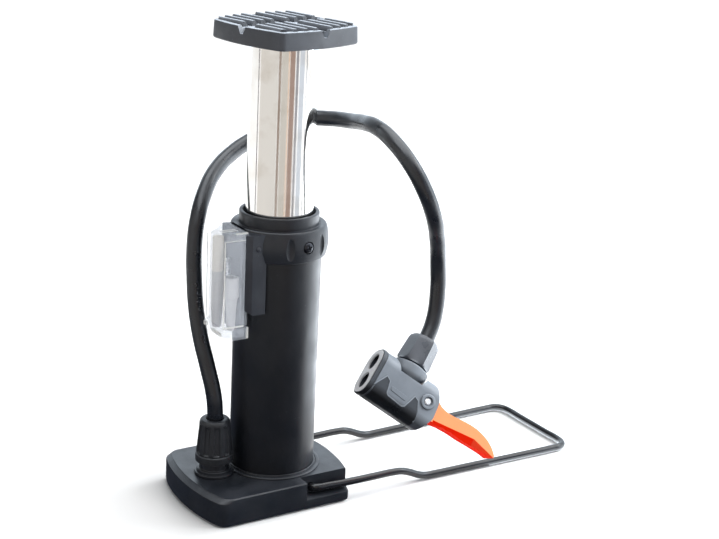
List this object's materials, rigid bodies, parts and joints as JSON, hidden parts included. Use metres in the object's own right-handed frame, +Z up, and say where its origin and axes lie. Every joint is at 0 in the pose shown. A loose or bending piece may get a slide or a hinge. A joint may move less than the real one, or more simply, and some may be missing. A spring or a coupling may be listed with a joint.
{
  "type": "foot-operated mini pump",
  "caption": "Foot-operated mini bicycle pump with a pedal on a chromed tube, wire stand, rubber hose, twin valve head and clip-on adaptor box.",
  "frame": {"origin": "on the barrel's axis, in the plane of the sole that the pump stands on", "axes": "+Z up the barrel, +X along the wire stand away from the hose fitting"},
  "size_m": [0.2195, 0.1291, 0.2353],
  "materials": {
    "black_plastic": "satin",
    "barrel_paint": "satin",
    "chrome": "polished",
    "steel": "satin",
    "rubber": "matte",
    "grey_plastic": "satin",
    "orange_plastic": "satin",
    "clear_plastic": "frosted",
    "white_plastic": "satin",
    "cream_plastic": "satin",
    "black_wire": "gloss"
  },
  "bodies": {
    "base": {"base_shell": "black_plastic", "sole_pad": "rubber", "barrel_plug": "black_plastic", "plug_seal": "rubber", "valve_spring": "steel", "base_screw_1": "steel", "base_screw_2": "steel", "base_screw_3": "steel", "collar_screw_1": "steel", "collar_screw_2": "steel", "collar_screw_3": "steel", "barrel": "barrel_paint", "collar": "black_plastic", "guide_bush": "white_plastic", "tube_wiper": "rubber", "return_spring": "steel", "outlet_fitting": "black_plastic", "base_hose_nut": "rubber", "hose": "rubber", "head_body": "grey_plastic", "head_cap": "grey_plastic", "valve_gasket": "rubber", "lever_pin": "steel", "head_hose_nut": "grey_plastic", "box_bracket": "black_plastic", "bracket_pin": "steel"},
    "valve_ball": {"check_ball": "steel"},
    "piston": {"piston_head": "white_plastic", "piston_cup": "rubber", "piston_ring": "white_plastic"},
    "treadle": {"piston_tube": "chrome", "tube_plug": "white_plastic", "pedal_screw": "steel", "pedal": "black_plastic"},
    "stand": {"wire_stand": "black_wire"},
    "lever": {"head_lever": "orange_plastic"},
    "plunger": {"head_plunger": "white_plastic"},
    "box": {"storage_box": "clear_plastic", "cone_nozzle": "white_plastic", "ball_needle": "steel", "valve_adaptor": "cream_plastic"},
    "lid": {"box_lid": "clear_plastic"}
  },
  "joints": [
    {"name": "pump_stroke", "type": "slide", "parent": "base", "child": "piston", "axis": [0, 0, -1], "range_m": [0, 0.078], "stiffness_N_per_m": 60, "springref_m": -0.07, "deforming": ["return_spring"]},
    {"name": "pedal_turn", "type": "hinge", "parent": "piston", "child": "treadle", "pos_m": [0, 0, 0.12], "axis": [0, 0, 1], "continuous": true},
    {"name": "stand_fold", "type": "hinge", "parent": "base", "child": "stand", "pos_m": [0.009, 0, 0.0084], "axis": [0, -1, 0], "range_deg": [0, 86]},
    {"name": "head_lever_throw", "type": "hinge", "parent": "base", "child": "lever", "pos_m": [0.04863, -0.05769, 0.05833], "axis": [-0.1134, -0.9076, 0.4043], "range_deg": [0, 85]},
    {"name": "plunger_press", "type": "slide", "parent": "base", "child": "plunger", "axis": [-0.742, 0.348, 0.573], "range_m": [0, 0.0012]},
    {"name": "valve_lift", "type": "slide", "parent": "base", "child": "valve_ball", "axis": [0, 0, -1], "range_m": [0, 0.0012], "stiffness_N_per_m": 20, "springref_m": -0.003, "deforming": ["valve_spring"]},
    {"name": "box_unclip", "type": "slide", "parent": "base", "child": "box", "axis": [-1, 0, 0], "range_m": [0, 0.03]},
    {"name": "lid_open", "type": "hinge", "parent": "box", "child": "lid", "pos_m": [-0.031, -0.0164, 0.0931], "axis": [-1, 0, 0], "range_deg": [0, 110]}
  ],
  "couplings": [
    {"joint": "plunger_press", "follows": "head_lever_throw", "m_per_rad": 0.0008}
  ]
}
